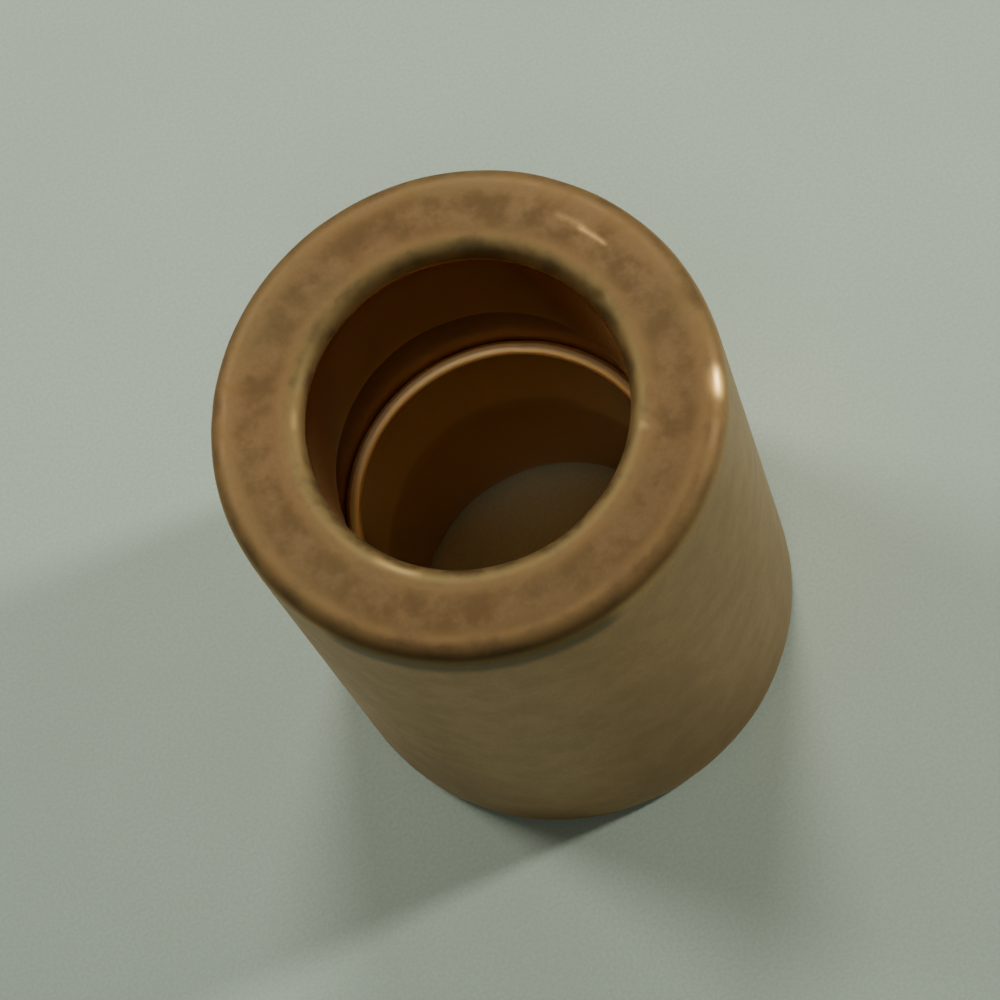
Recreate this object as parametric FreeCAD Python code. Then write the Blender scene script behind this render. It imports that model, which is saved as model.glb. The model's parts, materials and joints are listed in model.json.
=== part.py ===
"""Bronze sleeve bushing: a thick-walled sleeve with a thin liner pressed into its lower end.

The bushing stands on its lower end face. The bore axis is +Z, and the origin is the centre of that face.

Down the bore from the top come a short land cut in the sleeve itself, a ring-shaped grease pocket, and
the liner, which is bored to the same size as the land. The pocket is the part of the liner's seat that
the liner leaves free. Both pieces are turned, so each is one outline swept round the axis.

Units are millimetres. The driving sizes are inch fractions, as such bushings are sold.
"""

import FreeCAD
import Part

import math
import os

INCH = 25.4

# Driving dimensions
OUTER_DIAMETER = 1 * INCH
BORE_DIAMETER = 5 / 8 * INCH
LENGTH = 1.25 * INCH
SEAT_DIAMETER = 11 / 16 * INCH
LAND_LENGTH = 5 / 16 * INCH
POCKET_LENGTH = 7 / 32 * INCH

# Edge breaks: the radii of the roundings, and the legs of the 45 degree chamfers
EDGE_ROUNDING = 1.0
FINE_ROUNDING = 0.1
SEAT_LEAD_IN = 0.3
LINER_LEAD_IN = 0.25
LINER_RIM_ROUNDING = 0.4
LINER_MOUTH_CHAMFER = 0.5
LINER_MOUTH_ROUNDING = 0.3

# How far the liner's lower end stays inside the sleeve's lower face
LINER_SET_BACK = 0.2

# Sizes that follow
OUTER_RADIUS = OUTER_DIAMETER / 2
BORE_RADIUS = BORE_DIAMETER / 2
SEAT_RADIUS = SEAT_DIAMETER / 2
POCKET_TOP = LENGTH - LAND_LENGTH
LINER_TOP = POCKET_TOP - POCKET_LENGTH
LINER_BOTTOM = LINER_SET_BACK


def point(radius, height):
    """A point of an outline, which lies in the XZ plane."""
    return FreeCAD.Vector(radius, 0, height)


def corner_arc(before, corner, after, radius):
    """The arc that rounds one corner of an outline, tangent to the two runs that meet there."""
    back = (before - corner).normalize()
    ahead = (after - corner).normalize()
    half_angle = back.getAngle(ahead) / 2
    tangent_length = radius / math.tan(half_angle)
    centre_distance = radius / math.sin(half_angle)
    bisector = (back + ahead).normalize()
    start = corner + back * tangent_length
    middle = corner + bisector * (centre_distance - radius)
    end = corner + ahead * tangent_length
    return start, Part.Arc(start, middle, end).toShape(), end


def outline_wire(corners):
    """A closed outline through (radius, height, rounding) corners, where a rounding of 0 stays sharp."""
    places = [point(radius, height) for radius, height, rounding in corners]
    entries, arcs, exits = [], [], []
    for index, (radius, height, rounding) in enumerate(corners):
        corner = places[index]
        if rounding == 0:
            entry, arc, leave = corner, None, corner
        else:
            after = places[(index + 1) % len(places)]
            entry, arc, leave = corner_arc(places[index - 1], corner, after, rounding)
        entries.append(entry)
        arcs.append(arc)
        exits.append(leave)
    edges = []
    for index, arc in enumerate(arcs):
        if arc is not None:
            edges.append(arc)
        run_end = entries[(index + 1) % len(entries)]
        edges.append(Part.LineSegment(exits[index], run_end).toShape())
    return Part.Wire(edges)


def turned(corners):
    """The solid that an outline makes when it turns once about the bore axis."""
    solid = Part.Face(outline_wire(corners)).revolve(FreeCAD.Vector(), FreeCAD.Vector(0, 0, 1), 360)
    if not solid.isValid() or solid.Volume <= 0:
        raise ValueError("a turned piece isn't a valid solid")
    return solid


def sleeve():
    """The thick outer sleeve: land and rounded mouth above, open seat for the liner below."""
    return turned([
        (SEAT_RADIUS + SEAT_LEAD_IN, 0, FINE_ROUNDING),
        (OUTER_RADIUS, 0, EDGE_ROUNDING),
        (OUTER_RADIUS, LENGTH, EDGE_ROUNDING),
        (BORE_RADIUS, LENGTH, EDGE_ROUNDING),
        (BORE_RADIUS, POCKET_TOP, FINE_ROUNDING),
        (SEAT_RADIUS, POCKET_TOP, FINE_ROUNDING),
        (SEAT_RADIUS, SEAT_LEAD_IN, 0),
    ])


def liner():
    """The thin liner: at its upper end a lead-in outside and a rounded rim inside, a chamfered mouth below."""
    return turned([
        (BORE_RADIUS + LINER_MOUTH_CHAMFER, LINER_BOTTOM, 0),
        (SEAT_RADIUS, LINER_BOTTOM, FINE_ROUNDING),
        (SEAT_RADIUS, LINER_TOP - LINER_LEAD_IN, FINE_ROUNDING),
        (SEAT_RADIUS - LINER_LEAD_IN, LINER_TOP, FINE_ROUNDING),
        (BORE_RADIUS, LINER_TOP, LINER_RIM_ROUNDING),
        (BORE_RADIUS, LINER_BOTTOM + LINER_MOUTH_CHAMFER, LINER_MOUTH_ROUNDING),
    ])


PIECES = {
    "sleeve": sleeve,
    "liner": liner,
}

os.makedirs("parts", exist_ok=True)
for name, make in PIECES.items():
    make().exportStep(f"parts/{name}.step")
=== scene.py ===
"""Looks of the bronze sleeve bushing: two worn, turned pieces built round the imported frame.

Everything is in metres, in the frame's own axes: the bore is on +Z and the lower end face is at zero.
"""

from collections import namedtuple
import json
import math

import bpy
import numpy as np
from mathutils import Matrix, Vector, noise


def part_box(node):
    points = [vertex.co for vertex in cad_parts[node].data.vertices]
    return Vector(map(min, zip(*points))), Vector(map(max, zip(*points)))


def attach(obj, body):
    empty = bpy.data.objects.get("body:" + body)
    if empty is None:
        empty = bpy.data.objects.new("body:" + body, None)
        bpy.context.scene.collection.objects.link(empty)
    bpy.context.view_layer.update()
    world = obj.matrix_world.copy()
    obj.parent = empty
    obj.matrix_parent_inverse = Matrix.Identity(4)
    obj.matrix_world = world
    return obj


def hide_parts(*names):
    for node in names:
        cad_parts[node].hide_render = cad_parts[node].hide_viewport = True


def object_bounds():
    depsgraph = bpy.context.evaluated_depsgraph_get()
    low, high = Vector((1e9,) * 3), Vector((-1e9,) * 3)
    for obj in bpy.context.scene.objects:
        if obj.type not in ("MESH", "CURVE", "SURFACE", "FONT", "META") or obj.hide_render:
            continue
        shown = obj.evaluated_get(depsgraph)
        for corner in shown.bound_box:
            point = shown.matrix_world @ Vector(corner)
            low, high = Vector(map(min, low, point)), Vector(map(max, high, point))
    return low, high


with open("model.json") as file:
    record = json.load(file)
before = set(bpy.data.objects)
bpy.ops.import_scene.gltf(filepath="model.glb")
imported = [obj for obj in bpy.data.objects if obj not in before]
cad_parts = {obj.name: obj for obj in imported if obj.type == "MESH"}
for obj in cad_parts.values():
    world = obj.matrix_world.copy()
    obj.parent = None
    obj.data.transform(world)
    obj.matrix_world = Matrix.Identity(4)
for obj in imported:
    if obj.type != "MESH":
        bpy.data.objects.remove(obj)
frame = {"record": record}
cad_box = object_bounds()

MM = 0.001
INCH = 0.0254

# Sizes read from the frame
BORE_RADIUS = next(m for m in frame["record"]["mounts"] if m["name"] == "bore")["dims"]["r_mm"] * MM
OUTER_RADIUS = cad_box[1].x
LENGTH = cad_box[1].z
SEAT_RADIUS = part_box("liner")[1].x
LINER_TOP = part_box("liner")[1].z
LINER_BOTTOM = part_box("liner")[0].z

# Sizes that the frame doesn't name
LAND_LENGTH = 5 / 16 * INCH
POCKET_TOP = LENGTH - LAND_LENGTH
EDGE_ROUND = 1.0 * MM
FINE_ROUND = 0.1 * MM
SEAT_LEAD_IN = 0.3 * MM
LINER_LEAD_IN = 0.25 * MM
LINER_RIM_ROUND = 0.4 * MM
LINER_MOUTH_CHAMFER = 0.5 * MM
LINER_MOUTH_ROUND = 0.3 * MM

# How far down from the upper end face the liner's bore is painted darker: painted shade deep in the bore
LINER_SHADE_DEPTH = 0.79 * INCH
LINER_SHADE_TOP = LENGTH - LINER_SHADE_DEPTH

# Mesh density
SEGMENTS = 360
ARC_STEPS = 10
WALL_SPACING = 0.5 * MM
END_FACE_SPACING = 0.15 * MM

# Wear: how deep the edges are rubbed, how far from an edge the rubbing reaches, and how long its patches are
EDGE_WEAR_DEPTH = 0.035 * MM
EDGE_WEAR_REACH = 0.45 * MM
EDGE_WEAR_PATCH = 2.2 * MM

# The faint ripple that covers every surface, and how strongly ripple and rubbing swing about their middle
RIPPLE_DEPTH = 0.002 * MM
RIPPLE_LENGTH = 4 * MM
WAVE_CONTRAST = 0.7


# ---------------------------------------------------------------- outlines

# A corner of an outline: its place, its rounding, and the finish of its bend and of the run after it
Corner = namedtuple("Corner", "radius height rounding bend_finish run_finish")


def sleeve_corners():
    """The sleeve's outline: out along the bottom, up the outside, in over the top and down the bore."""
    return [
        Corner(SEAT_RADIUS + SEAT_LEAD_IN, 0, FINE_ROUND, "end", "end"),
        Corner(OUTER_RADIUS, 0, EDGE_ROUND, "rim", "outside"),
        Corner(OUTER_RADIUS, LENGTH, EDGE_ROUND, "rim", "end"),
        Corner(BORE_RADIUS, LENGTH, EDGE_ROUND, "mouth", "bore"),
        Corner(BORE_RADIUS, POCKET_TOP, FINE_ROUND, "bore", "pocket"),
        Corner(SEAT_RADIUS, POCKET_TOP, FINE_ROUND, "pocket", "pocket"),
        Corner(SEAT_RADIUS, SEAT_LEAD_IN, 0, "end", "end"),
    ]


def liner_corners():
    """The liner's outline, in the same order."""
    return [
        Corner(BORE_RADIUS + LINER_MOUTH_CHAMFER, LINER_BOTTOM, 0, "end", "end"),
        Corner(SEAT_RADIUS, LINER_BOTTOM, FINE_ROUND, "end", "outside"),
        Corner(SEAT_RADIUS, LINER_TOP - LINER_LEAD_IN, FINE_ROUND, "lip", "lip"),
        Corner(SEAT_RADIUS - LINER_LEAD_IN, LINER_TOP, FINE_ROUND, "lip", "lip"),
        Corner(BORE_RADIUS, LINER_TOP, LINER_RIM_ROUND, "lip", "bore"),
        Corner(BORE_RADIUS, LINER_BOTTOM + LINER_MOUTH_CHAMFER, LINER_MOUTH_ROUND, "mouth", "mouth"),
    ]


def rounded_corner(before, corner, after, rounding):
    """Points of the arc that rounds a corner, from the run before it to the run after it."""
    if rounding == 0:
        return [corner]
    back = (before - corner).normalized()
    ahead = (after - corner).normalized()
    half_angle = back.angle(ahead) / 2
    centre = corner + (back + ahead).normalized() * rounding / math.sin(half_angle)
    start = corner + back * rounding / math.tan(half_angle) - centre
    end = corner + ahead * rounding / math.tan(half_angle) - centre
    swing = start.angle_signed(end)
    turns = [Matrix.Rotation(-swing * step / ARC_STEPS, 2) for step in range(ARC_STEPS + 1)]
    return [centre + turn @ start for turn in turns]


def outline(corners):
    """The closed outline as (radius, height) points, with each step's finish and distance to an edge."""
    places = [Vector((corner.radius, corner.height)) for corner in corners]
    arcs = []
    for index, corner in enumerate(corners):
        after = places[(index + 1) % len(places)]
        arcs.append(rounded_corner(places[index - 1], places[index], after, corner.rounding))
    points, finishes, edge_distances = [], [], []
    for index, (corner, arc) in enumerate(zip(corners, arcs)):
        for place in arc[:-1]:
            points.append(place)
            finishes.append(corner.bend_finish)
            edge_distances.append(0.0)
        run_start, run_end = arc[-1], arcs[(index + 1) % len(arcs)][0]
        length = (run_end - run_start).length
        spacing = END_FACE_SPACING if corner.run_finish == "end" else WALL_SPACING
        steps = max(2, math.ceil(length / spacing))
        for step in range(steps):
            share = step / steps
            points.append(run_start.lerp(run_end, share))
            finishes.append(corner.run_finish)
            edge_distances.append(length * min(share, 1 - share))
    return np.array(points), finishes, np.array(edge_distances)


# ---------------------------------------------------------------- wear and meshes

def polar(degrees, radius, height):
    """A point given by its angle round the bore, its distance from the axis and its height."""
    angle = math.radians(degrees)
    return np.array((radius * math.cos(angle), radius * math.sin(angle), height))


# Knocks: place, radius of the dent, depth
SLEEVE_KNOCKS = [
    (polar(12, BORE_RADIUS + 0.4 * MM, LENGTH), 0.40 * MM, 0.09 * MM),
    (polar(-2, OUTER_RADIUS - 0.3 * MM, LENGTH - 0.2 * MM), 0.6 * MM, 0.05 * MM),
    (polar(-30, BORE_RADIUS + 0.7 * MM, LENGTH), 0.5 * MM, 0.05 * MM),
    (polar(-34, BORE_RADIUS + 1.6 * MM, LENGTH), 0.5 * MM, 0.03 * MM),
    (polar(150, OUTER_RADIUS - 0.4 * MM, LENGTH - 0.2 * MM), 0.5 * MM, 0.06 * MM),
    (polar(-95, OUTER_RADIUS, 7 * MM), 0.7 * MM, 0.04 * MM),
    (polar(35, OUTER_RADIUS, 20 * MM), 0.8 * MM, 0.05 * MM),
    (polar(110, OUTER_RADIUS - 0.3 * MM, 0.3 * MM), 0.7 * MM, 0.10 * MM),
    (polar(-140, OUTER_RADIUS - 0.3 * MM, 0.3 * MM), 0.6 * MM, 0.08 * MM),
    (polar(205, OUTER_RADIUS, 12 * MM), 0.6 * MM, 0.05 * MM),
]
LINER_KNOCKS = [
    (polar(60, SEAT_RADIUS - 0.3 * MM, LINER_TOP), 0.4 * MM, 0.05 * MM),
    (polar(-70, BORE_RADIUS + 0.3 * MM, LINER_BOTTOM), 0.5 * MM, 0.06 * MM),
]


def smear(start_degrees, end_degrees, radius, height, width, strength):
    """A mark drawn out round the axis, as a row of spots that overlap to the full strength."""
    step = math.degrees(width / radius) / 2
    middles = np.arange(start_degrees, end_degrees, step)
    spot_strength = strength / (2 * math.sqrt(math.pi))
    return [(polar(degrees, radius, height), width, spot_strength) for degrees in middles]


# Marks that only change the finish, as handling marks, painted shade and painted highlights: place, radius,
# and how dark (+) or bright (-) they are
SLEEVE_MARKS = [
    (polar(-29.5, BORE_RADIUS + 0.4 * MM, LENGTH), 0.30 * MM, 0.5),
    (polar(-31, BORE_RADIUS + 0.8 * MM, LENGTH), 0.30 * MM, 0.5),
    (polar(-33, BORE_RADIUS + 1.3 * MM, LENGTH), 0.35 * MM, 0.4),
    (polar(-34.5, BORE_RADIUS + 1.9 * MM, LENGTH), 0.35 * MM, 0.4),
    (polar(-36, BORE_RADIUS + 0.9 * MM, LENGTH), 0.40 * MM, -0.3),
    (polar(-2, OUTER_RADIUS - 0.5 * MM, LENGTH), 0.9 * MM, 0.5),
    (polar(12, BORE_RADIUS + 0.4 * MM, LENGTH), 0.5 * MM, 0.6),
    (polar(135, OUTER_RADIUS - 2 * MM, LENGTH), 3.0 * MM, 0.22),
    (polar(5, OUTER_RADIUS - 2 * MM, LENGTH), 2.0 * MM, 0.12),
    (polar(-60, OUTER_RADIUS - 2 * MM, LENGTH), 3.0 * MM, 0.16),
    *smear(22, 31, OUTER_RADIUS - 2.15 * MM, LENGTH, 0.16 * MM, -0.45),
    *smear(30, 39, OUTER_RADIUS - 2.0 * MM, LENGTH, 0.25 * MM, -0.25),
    # A burnished spot on the rim where the lamp highlight falls: smoother metal, and a brighter colour that
    # is in part a painted highlight
    *smear(-27, -21, OUTER_RADIUS - 0.40 * MM, LENGTH - 0.18 * MM, 0.50 * MM, -0.85),
    # Burnished spots on the mouth where lamp glows fall: smoother metal, and a brighter colour that is in
    # part a painted highlight
    *smear(213, 230, BORE_RADIUS + 0.55 * MM, LENGTH - 0.05 * MM, 0.30 * MM, -0.35),
    *smear(150, 158, BORE_RADIUS + 0.40 * MM, LENGTH - 0.1 * MM, 0.30 * MM, -0.35),
    # A dark band painted along the front of the rim: painted reflection of the dim side of the room
    *smear(-148, -82, OUTER_RADIUS, LENGTH - 1.2 * MM, 0.85 * MM, 1.0),
]

# A dark line painted round the far side of the liner's bore, above its darker lower part: painted shade
LINER_PAINTED_SHADE = smear(45, 130, BORE_RADIUS, LINER_SHADE_TOP - 0.6 * MM, 0.7 * MM, 0.45)


def wave(places, feature):
    """Smooth noise from 0 to 1 at each place, with bumps about one feature across."""
    values = [noise.noise(Vector(place) / feature) for place in places]
    return np.clip(np.array(values) * WAVE_CONTRAST + 0.5, 0, 1)


def bells(places, spots):
    """The sum of round bell-shaped bumps, each given by its centre, radius and height."""
    total = np.zeros(len(places))
    for centre, radius, height in spots:
        distance = np.linalg.norm(places - centre, axis=1)
        total += height * np.exp(-(distance / radius) ** 2)
    return total


def sweep(radial, axial):
    """Turn each (radial, axial) pair about the bore axis into a ring of places or directions."""
    angles = np.arange(SEGMENTS) * 2 * math.pi / SEGMENTS
    spin = np.stack([np.cos(angles), np.sin(angles)], axis=1)
    swept = np.zeros((len(radial), SEGMENTS, 3))
    swept[:, :, :2] = radial[:, None, None] * spin
    swept[:, :, 2] = axial[:, None]
    return swept.reshape(-1, 3)


def swept_faces(rings):
    """The four-sided faces that join each ring of points to the next, and the last to the first."""
    faces = []
    for ring in range(rings):
        above = (ring + 1) % rings
        for segment in range(SEGMENTS):
            beside = (segment + 1) % SEGMENTS
            faces.append((
                ring * SEGMENTS + segment,
                ring * SEGMENTS + beside,
                above * SEGMENTS + beside,
                above * SEGMENTS + segment,
            ))
    return faces


def turned_piece(name, corners, finishes, knocks=(), marks=()):
    """A mesh that turns an outline about the bore axis, with rubbed edges and knocks cut into it."""
    points, run_finishes, edge_distances = outline(corners)
    along = np.roll(points, -1, axis=0) - np.roll(points, 1, axis=0)
    along /= np.linalg.norm(along, axis=1)[:, None]
    places = sweep(points[:, 0], points[:, 1])
    outward = sweep(along[:, 1], -along[:, 0])

    edge = np.repeat(np.exp(-(edge_distances / EDGE_WEAR_REACH) ** 2), SEGMENTS)
    bend = np.repeat(2 * np.abs(along[:, 0] * along[:, 1]), SEGMENTS)
    steep = np.repeat(np.abs(along[:, 1]), SEGMENTS)
    rub = edge * EDGE_WEAR_DEPTH * wave(places, EDGE_WEAR_PATCH)
    ripple = RIPPLE_DEPTH * wave(places, RIPPLE_LENGTH)
    places -= outward * (rub + ripple + bells(places, knocks))[:, None]

    finish_names = list(finishes)
    materials = [finish_names.index(finish) for finish in run_finishes for segment in range(SEGMENTS)]
    mesh = bpy.data.meshes.new(name)
    mesh.from_pydata(places, [], swept_faces(len(points)))
    for material in finishes.values():
        mesh.materials.append(material)
    mesh.polygons.foreach_set("material_index", materials)
    mesh.shade_smooth()
    attributes = {"edge": edge, "bend": bend, "steep": steep, "mark": bells(places, marks)}
    for key, values in attributes.items():
        mesh.attributes.new(key, "FLOAT", "POINT").data.foreach_set("value", values)
    mesh.validate()
    piece = bpy.data.objects.new(name, mesh)
    bpy.context.scene.collection.objects.link(piece)
    return piece


# ---------------------------------------------------------------- materials

class Shading:
    """The node tree of a material or world, with short calls that add a node and return its output."""

    def __init__(self, owner):
        owner.use_nodes = True
        self.tree = owner.node_tree

    def set(self, socket, value):
        """Link a socket to an output, or give it a constant."""
        if isinstance(value, bpy.types.NodeSocket):
            self.tree.links.new(value, socket)
        else:
            socket.default_value = value

    def add(self, kind, output, inputs, **settings):
        """Add a node with its settings and inputs, and return one of its outputs."""
        made = self.tree.nodes.new(kind)
        for key, value in settings.items():
            setattr(made, key, value)
        for key, value in inputs.items():
            self.set(made.inputs[key], value)
        return made.outputs[output]

    def fill(self, node_name, inputs):
        """Set the inputs of the node that makes the final result."""
        for key, value in inputs.items():
            self.set(self.tree.nodes[node_name].inputs[key], value)

    def math(self, operation, first, second=0.0):
        return self.add("ShaderNodeMath", 0, {0: first, 1: second}, operation=operation)

    def attribute(self, name):
        """A value that the mesh carries at each point."""
        return self.add("ShaderNodeAttribute", "Fac", {}, attribute_name=name)

    def noise(self, vector, scale, detail=3.0, roughness=0.55):
        inputs = {"Vector": vector, "Scale": scale, "Detail": detail, "Roughness": roughness}
        return self.add("ShaderNodeTexNoise", "Fac", inputs)

    def mix(self, share, first, second):
        """Mix two numbers."""
        return self.add("ShaderNodeMix", 0, {0: share, 2: first, 3: second}, data_type="FLOAT")

    def spread(self, value, low, high, to_low=0.0, to_high=1.0):
        """Map a stretch of values to another, held at the ends."""
        inputs = {"Value": value, "From Min": low, "From Max": high, "To Min": to_low, "To Max": to_high}
        return self.add("ShaderNodeMapRange", "Result", inputs, interpolation_type="SMOOTHSTEP")

    def blend(self, share, first, second):
        """Mix two colours."""
        return self.add("ShaderNodeMix", 2, {0: share, 6: first, 7: second}, data_type="RGBA")


def colour(red, green, blue):
    return (red, green, blue, 1.0)


BRIGHT_BRONZE = colour(0.97, 0.62, 0.30)
PALE_BRONZE = colour(0.86, 0.52, 0.23)
MID_BRONZE = colour(0.60, 0.37, 0.175)
FACE_BRONZE = colour(0.212, 0.128, 0.055)
DULL_BRONZE = colour(0.25, 0.146, 0.064)
BROWN_BRONZE = colour(0.150, 0.088, 0.037)
RIM_BRONZE = colour(0.235, 0.142, 0.062)
MOUTH_BRONZE = colour(0.170, 0.120, 0.048)
# Darker colour of the pocket wall: painted shade in the recess under the land
POCKET_SHADE_BRONZE = colour(0.40, 0.18, 0.05)
CUT_BRONZE = colour(0.96, 0.84, 0.50)
# Rubbed metal on worn edges, and the bright colour of burnished spots that is in part a painted highlight
RUBBED_AND_HIGHLIGHT_BRONZE = colour(0.98, 0.62, 0.21)
OLIVE_TARNISH = colour(0.155, 0.115, 0.050)
# Colour of the painted shade low in the liner's bore
RED_SHADE = colour(0.42, 0.18, 0.05)
# Dark film on smudges, and also the colour of painted shade and painted reflection
DARK_FILM_AND_SHADE = colour(0.09, 0.06, 0.018)

# How fine each pattern is, in features per metre
PATCH_SCALE = 120.0
MOTTLE_SCALE = 600.0
GRAIN_SCALE = 6000.0

# Tool lines: features per radian round the bore, and how many times that per metre across the lines
LINE_SCALE = 1.3
LINE_STRETCH = 9000.0

# The stretch of noise, or of the strength of a mark, over which each pattern goes from none to full
PATCH_SPAN = (0.40, 0.66)
MOTTLE_SPAN = (0.36, 0.64)
GRAIN_SPAN = (0.30, 0.70)
LINE_SPAN = (0.35, 0.65)
RUBBING_SPAN = (0.35, 0.60)
DARK_MARK_SPAN = (0.05, 1.0)
BURNISH_AND_HIGHLIGHT_SPAN = (0.02, 1.0)

# How strongly each pattern tints the metal or changes how rough it is
GRAIN_TINT = 0.30
LINE_TINT = 0.05
RUBBING_TINT = 0.1
DARK_MARK_TINT = 0.8
BURNISH_AND_HIGHLIGHT_TINT = 0.8
BURNISH_SMOOTHING = 0.28
BLOTCH_ROUGHNESS = 0.16

# The painted red shade low in the liner's bore: how strong it is, how softly it starts, and how ragged its
# upper edge is
LINER_SHADE_STRENGTH = 0.55
LINER_SHADE_SOFTNESS = 1.2 * MM
LINER_SHADE_RAGGEDNESS = 0.8 * MM

# Fine relief: how much of it the eye meets, and the grain's share beside the tool lines
BUMP_STRENGTH = 0.6
GRAIN_RELIEF = 0.8
LINE_DEPTH = 0.001 * MM
SMOOTH_LINE_DEPTH = 0.0002 * MM

# A quarter turn, which stretches highlights across the tool lines instead of along them
ACROSS_GROOVES = 0.25

# Metal of one kind: its colours, how rough it is, how far tool grooves stretch its highlights (0 to 1), how
# blotchy it is (0 to 1), and how much tarnish lies on it (0 to 1)
Finish = namedtuple("Finish", "light dark roughness grooved mottling film")


def tool_line_noise(nodes, place, split):
    """Noise drawn out round the bore axis, as a turning tool leaves it on faces and walls alike."""
    across_bore = nodes.add("ShaderNodeCombineXYZ", 0, {"X": split.outputs["X"], "Y": split.outputs["Y"]})
    radius = nodes.add("ShaderNodeVectorMath", "Value", {0: across_bore}, operation="LENGTH")
    round_bore = nodes.add("ShaderNodeVectorMath", "Vector", {0: across_bore}, operation="NORMALIZE")
    feed = nodes.math("ADD", radius, split.outputs["Z"])
    stretched_feed = nodes.add("ShaderNodeCombineXYZ", 0, {"Z": nodes.math("MULTIPLY", feed, LINE_STRETCH)})
    line_inputs = {0: round_bore, 1: stretched_feed}
    line_place = nodes.add("ShaderNodeVectorMath", "Vector", line_inputs, operation="ADD")
    return nodes.noise(line_place, LINE_SCALE, detail=2.0)


def mixed_finish(nodes, flat, bent, wall, bend, upright):
    """One finish whose every part passes from flat to bent to wall, where those are given."""
    parts = {}
    for part in Finish._fields:
        join = nodes.blend if part in ("light", "dark") else nodes.mix
        value = getattr(flat, part)
        if bent is not None:
            value = join(bend, value, getattr(bent, part))
        if wall is not None:
            value = join(upright, value, getattr(wall, part))
        parts[part] = value
    return Finish(**parts)


def bronze(name, flat, bent=None, wall=None, bent_from=0.2, bent_to=0.9, wall_from=0.75,
           line_tint=LINE_TINT, line_depth=LINE_DEPTH, shade_top=None):
    """Turned bronze: mottled metal, a thin film of tarnish, tool lines round the axis, rubbed edges.

    Where the outline bends, from bent_from to bent_to (0 is flat, 1 is bent by 45 degrees), the flat finish
    gives way to the bent one. Where it turns upright, from wall_from to 1, the wall finish takes over.
    Where a top height for it is given, the metal below is painted red and dark: painted shade deep in the
    bore.
    """
    material = bpy.data.materials.new(name)
    nodes = Shading(material)
    place = nodes.add("ShaderNodeTexCoord", "Object", {})
    split = nodes.add("ShaderNodeSeparateXYZ", "X", {"Vector": place}).node
    line = tool_line_noise(nodes, place, split)
    patches = nodes.noise(place, PATCH_SCALE, detail=3.0)
    mottle = nodes.noise(place, MOTTLE_SCALE, detail=7.0, roughness=0.62)
    grain = nodes.noise(place, GRAIN_SCALE, detail=2.0)

    bend = nodes.spread(nodes.attribute("bend"), bent_from, bent_to)
    upright = nodes.spread(nodes.attribute("steep"), wall_from, 1.0)
    metal = mixed_finish(nodes, flat, bent, wall, bend, upright)

    blotch = nodes.math("MULTIPLY", nodes.spread(mottle, *MOTTLE_SPAN, -0.5, 0.5), metal.mottling)
    film = nodes.math("MULTIPLY", nodes.spread(patches, *PATCH_SPAN), metal.film)
    rubbed = nodes.math("MULTIPLY", nodes.attribute("edge"), nodes.spread(mottle, *RUBBING_SPAN))
    mark = nodes.attribute("mark")
    burnish_and_highlight = nodes.spread(nodes.math("MULTIPLY", mark, -1.0), *BURNISH_AND_HIGHLIGHT_SPAN)

    base = nodes.blend(nodes.math("ADD", blotch, 0.5), metal.light, metal.dark)
    base = nodes.blend(film, base, OLIVE_TARNISH)
    base = nodes.blend(nodes.spread(grain, *GRAIN_SPAN, 0.0, GRAIN_TINT), base, metal.dark)
    base = nodes.blend(nodes.spread(line, *LINE_SPAN, 0.0, line_tint), base, metal.dark)
    # Painted shade: below the given height the bore is coloured darker and redder
    if shade_top is not None:
        ragged = nodes.math("ADD", split.outputs["Z"], nodes.math("MULTIPLY", mottle, LINER_SHADE_RAGGEDNESS))
        painted_shade = nodes.spread(ragged, shade_top - LINER_SHADE_SOFTNESS, shade_top, LINER_SHADE_STRENGTH, 0.0)
        base = nodes.blend(painted_shade, base, RED_SHADE)
    base = nodes.blend(nodes.math("MULTIPLY", rubbed, RUBBING_TINT), base, RUBBED_AND_HIGHLIGHT_BRONZE)
    # Dark marks: real smudges, and painted shade and painted reflection where the marks list them
    base = nodes.blend(nodes.spread(mark, *DARK_MARK_SPAN, 0.0, DARK_MARK_TINT), base, DARK_FILM_AND_SHADE)
    # Bright marks: real scratches, and burnished spots whose brighter colour is in part a painted highlight
    base = nodes.blend(nodes.math("MULTIPLY", burnish_and_highlight, BURNISH_AND_HIGHLIGHT_TINT), base, RUBBED_AND_HIGHLIGHT_BRONZE)

    roughness = nodes.math("ADD", metal.roughness, nodes.math("MULTIPLY", blotch, BLOTCH_ROUGHNESS))
    roughness = nodes.math("SUBTRACT", roughness, nodes.math("MULTIPLY", burnish_and_highlight, BURNISH_SMOOTHING))
    relief = nodes.math("ADD", line, nodes.math("MULTIPLY", grain, GRAIN_RELIEF))
    relief_inputs = {"Strength": BUMP_STRENGTH, "Distance": line_depth, "Height": relief}
    nodes.fill("Principled BSDF", {
        "Base Color": base,
        "Metallic": 1.0,
        "Roughness": roughness,
        "Normal": nodes.add("ShaderNodeBump", "Normal", relief_inputs),
        "Anisotropic": metal.grooved,
        "Anisotropic Rotation": ACROSS_GROOVES,
        "Tangent": nodes.add("ShaderNodeTangent", 0, {}, direction_type="RADIAL", axis="Z"),
    })
    return material


BORE_FINISH = Finish(BRIGHT_BRONZE, PALE_BRONZE, 0.25, 0.0, 0.1, 0.0)


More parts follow.
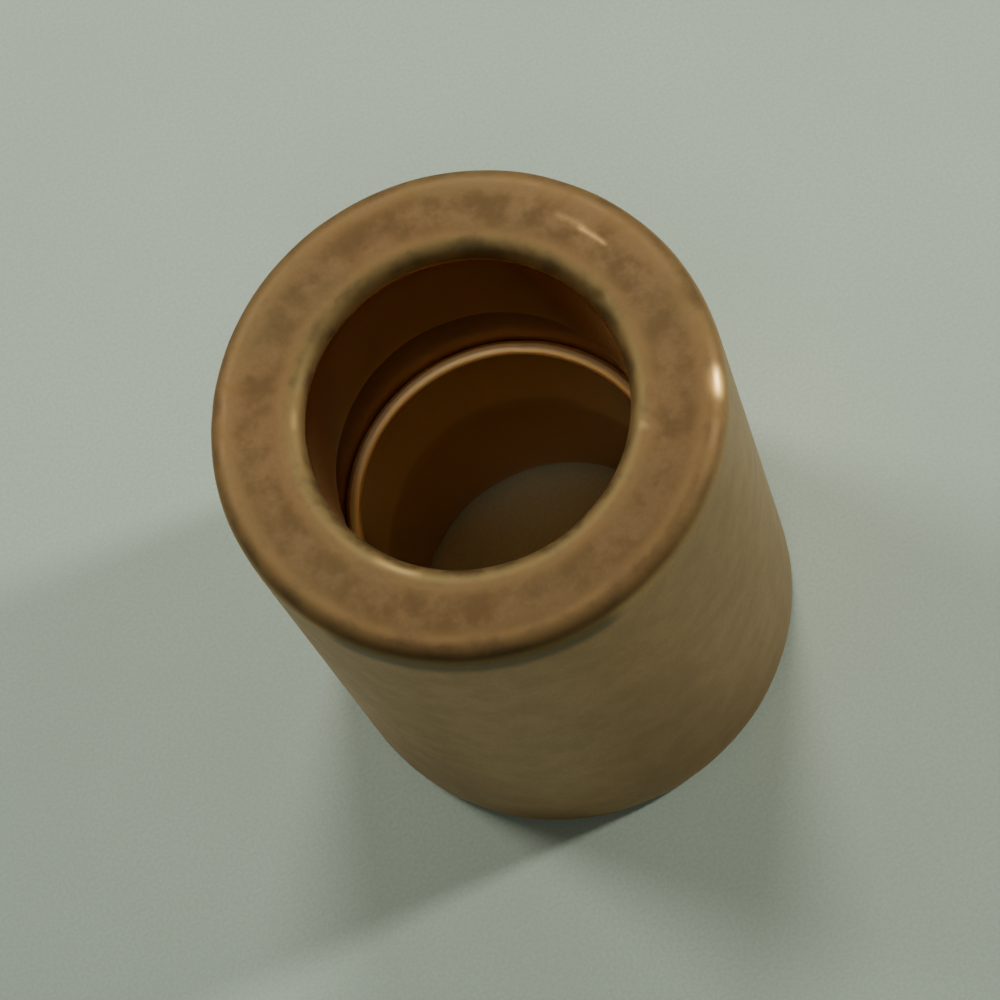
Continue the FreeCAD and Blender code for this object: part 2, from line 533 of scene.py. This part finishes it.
def sleeve_finishes():
    """The sleeve's materials by the names that its outline uses."""
    face = Finish(FACE_BRONZE, BROWN_BRONZE, 0.62, 0.1, 0.7, 0.40)
    rim = Finish(RIM_BRONZE, BROWN_BRONZE, 0.64, 0.3, 0.6, 0.40)
    mouth = Finish(MOUTH_BRONZE, MOUTH_BRONZE, 0.62, 0.1, 0.7, 0.40)
    outside = Finish(MID_BRONZE, DULL_BRONZE, 0.50, 0.0, 0.15, 0.10)
    # The pocket wall is coloured darker than the bore: painted shade in the recess under the land
    pocket = Finish(POCKET_SHADE_BRONZE, DULL_BRONZE, 0.45, 0.0, 0.2, 0.0)
    return {
        "end": bronze("sleeve_end_face", face),
        "outside": bronze("sleeve_outside", outside, line_tint=0.0, line_depth=SMOOTH_LINE_DEPTH),
        "rim": bronze("sleeve_rim", face, rim, outside, bent_from=0.5),
        "mouth": bronze("sleeve_mouth", face, mouth, BORE_FINISH, bent_from=0.0, bent_to=0.5,
                        wall_from=0.95),
        "bore": bronze("sleeve_bore", BORE_FINISH),
        "pocket": bronze("sleeve_pocket", pocket),
    }


def liner_finishes():
    """The liner's materials by the names that its outline uses."""
    hidden = Finish(MID_BRONZE, DULL_BRONZE, 0.40, 0.0, 0.5, 0.2)
    lip = Finish(CUT_BRONZE, CUT_BRONZE, 0.58, 0.0, 0.0, 0.0)
    return {
        "end": bronze("liner_end_face", hidden),
        "outside": bronze("liner_outside", hidden),
        "lip": bronze("liner_lip", lip),
        "bore": bronze("liner_bore", BORE_FINISH, shade_top=LINER_SHADE_TOP),
        "mouth": bronze("liner_mouth", hidden),
    }


FLOOR_LIGHT = colour(0.45, 0.54, 0.415)
FLOOR_SHADE = colour(0.425, 0.51, 0.39)
FLOOR_GRIT = colour(0.35, 0.42, 0.315)
FLOOR_CLOUD_SCALE = 60.0
FLOOR_GRIT_SCALE = 5000.0
FLOOR_NOISE_SPAN = (0.3, 0.7)
FLOOR_GRIT_TINT = 0.5


def floor_material():
    """A pale green-grey board with a faint unevenness."""
    material = bpy.data.materials.new("studio_floor")
    nodes = Shading(material)
    place = nodes.add("ShaderNodeTexCoord", "Object", {})
    cloud = nodes.noise(place, FLOOR_CLOUD_SCALE, detail=4.0)
    grit = nodes.noise(place, FLOOR_GRIT_SCALE, detail=2.0)
    base = nodes.blend(nodes.spread(cloud, *FLOOR_NOISE_SPAN), FLOOR_LIGHT, FLOOR_SHADE)
    base = nodes.blend(nodes.spread(grit, *FLOOR_NOISE_SPAN, 0.0, FLOOR_GRIT_TINT), base, FLOOR_GRIT)
    nodes.fill("Principled BSDF", {"Base Color": base, "Roughness": 0.65, "Specular IOR Level": 0.3})
    return material


# ---------------------------------------------------------------- studio

FLOOR_HALF_WIDTH = 1.2

# Camera: its lean off straight down, its roll, and its place from the upper face's centre in outer radii
CAMERA_LEAN = math.radians(21.29)
CAMERA_ROLL = math.radians(-28.34)
CAMERA_ASIDE = 0.137
CAMERA_BELOW = 0.352
CAMERA_DISTANCE = 14.239
CAMERA_LENS_MM = 135.8
CAMERA_CLIP_START = 0.01

# Soft lights: angle round the object and above the horizon in degrees, power in watts, size across
LIGHTS = [
    (63, 47, 0.60, 0.10),
    (-6, 32, 0.76, 0.036),
    (126, 44, 0.58, 0.10),
    (-105, 63, 0.10, 0.07),
]
LIGHT_DISTANCE = 0.36

# Ambient light: its strength overhead, how much more comes from the horizon, and how high that glow reaches
AMBIENT = 0.045
HORIZON_GLOW = 2.0
GLOW_TOP = 0.6
AMBIENT_COLOUR = colour(0.97, 1.0, 0.90)

# The dim side of the room: its direction, and where it starts and is full, as cosines from that direction
DARK_SIDE = Vector((-0.49, -0.80, 0.34))
DARK_SIDE_COLOUR = colour(0.10, 0.10, 0.08)
DARK_SIDE_SPAN = (0.70, 0.97)


def look_matrix(back, up, place):
    """The placing of a light or camera whose back and up directions are known."""
    right = up.cross(back).normalized()
    turn = Matrix((right, back.cross(right), back)).transposed()
    return Matrix.Translation(place) @ turn.to_4x4()


def add_floor():
    """The board that the bushing stands on."""
    side = FLOOR_HALF_WIDTH
    corners = [(-side, -side, 0), (side, -side, 0), (side, side, 0), (-side, side, 0)]
    mesh = bpy.data.meshes.new("studio_floor")
    mesh.from_pydata(corners, [], [(0, 1, 2, 3)])
    mesh.materials.append(floor_material())
    floor = bpy.data.objects.new("studio_floor", mesh)
    bpy.context.scene.collection.objects.link(floor)


def direction(around_degrees, above_degrees):
    """The unit vector at an angle round the object and an angle above the horizon."""
    around, above = math.radians(around_degrees), math.radians(above_degrees)
    return Vector((math.cos(around) * math.cos(above), math.sin(around) * math.cos(above), math.sin(above)))


def add_lights():
    """Round area lights, all at one distance and aimed at the middle of the bushing."""
    target = Vector((0, 0, LENGTH / 2))
    for number, (around, above, power, size) in enumerate(LIGHTS, 1):
        back = direction(around, above)
        data = bpy.data.lights.new(f"soft_light_{number}", "AREA")
        data.shape = "DISK"
        data.size = size
        data.energy = power
        light = bpy.data.objects.new(data.name, data)
        light.matrix_world = look_matrix(back, Vector((0, 0, 1)), target + back * LIGHT_DISTANCE)
        bpy.context.scene.collection.objects.link(light)


def add_world():
    """Ambient light, brighter towards the horizon and dim low down on the camera's side."""
    world = bpy.data.worlds.new("studio_air")
    nodes = Shading(world)
    view = nodes.add("ShaderNodeTexCoord", "Generated", {})
    facing = nodes.add("ShaderNodeVectorMath", "Value", {0: view, 1: DARK_SIDE}, operation="DOT_PRODUCT")
    height = nodes.add("ShaderNodeSeparateXYZ", "Z", {"Vector": view})
    nodes.fill("Background", {
        "Color": nodes.blend(nodes.spread(facing, *DARK_SIDE_SPAN), AMBIENT_COLOUR, DARK_SIDE_COLOUR),
        "Strength": nodes.spread(height, 0.0, GLOW_TOP, AMBIENT * (1 + HORIZON_GLOW), AMBIENT),
    })
    bpy.context.scene.world = world


def add_camera():
    """The photo's view, looking down into the bore."""
    top_centre = Vector((0, 0, LENGTH))
    back = Vector((0, -math.sin(CAMERA_LEAN), math.cos(CAMERA_LEAN)))
    level_up = Vector((0, math.cos(CAMERA_LEAN), math.sin(CAMERA_LEAN)))
    up = Matrix.Rotation(CAMERA_ROLL, 3, back) @ level_up
    right = up.cross(back)
    offset = CAMERA_ASIDE * right - CAMERA_BELOW * up + CAMERA_DISTANCE * back
    data = bpy.data.cameras.new("camera")
    data.lens = CAMERA_LENS_MM
    data.clip_start = CAMERA_CLIP_START
    camera = bpy.data.objects.new("camera", data)
    camera.matrix_world = look_matrix(back, up, top_centre + OUTER_RADIUS * offset)
    bpy.context.scene.collection.objects.link(camera)
    bpy.context.scene.camera = camera


# ---------------------------------------------------------------- assembly

def add_piece(name, node, slot, corners, finishes, **wear):
    """Build a turned piece and let it stand for its node of the frame."""
    piece = turned_piece(name, corners, finishes, **wear)
    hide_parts(node)
    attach(piece, "root")


add_camera()
add_lights()
add_world()
add_floor()
add_piece("sleeve_turned", "sleeve", "sleeve_bronze", sleeve_corners(), sleeve_finishes(),
          knocks=SLEEVE_KNOCKS, marks=SLEEVE_MARKS)
add_piece("liner_turned", "liner", "liner_bronze", liner_corners(), liner_finishes(),
          knocks=LINER_KNOCKS, marks=LINER_PAINTED_SHADE)
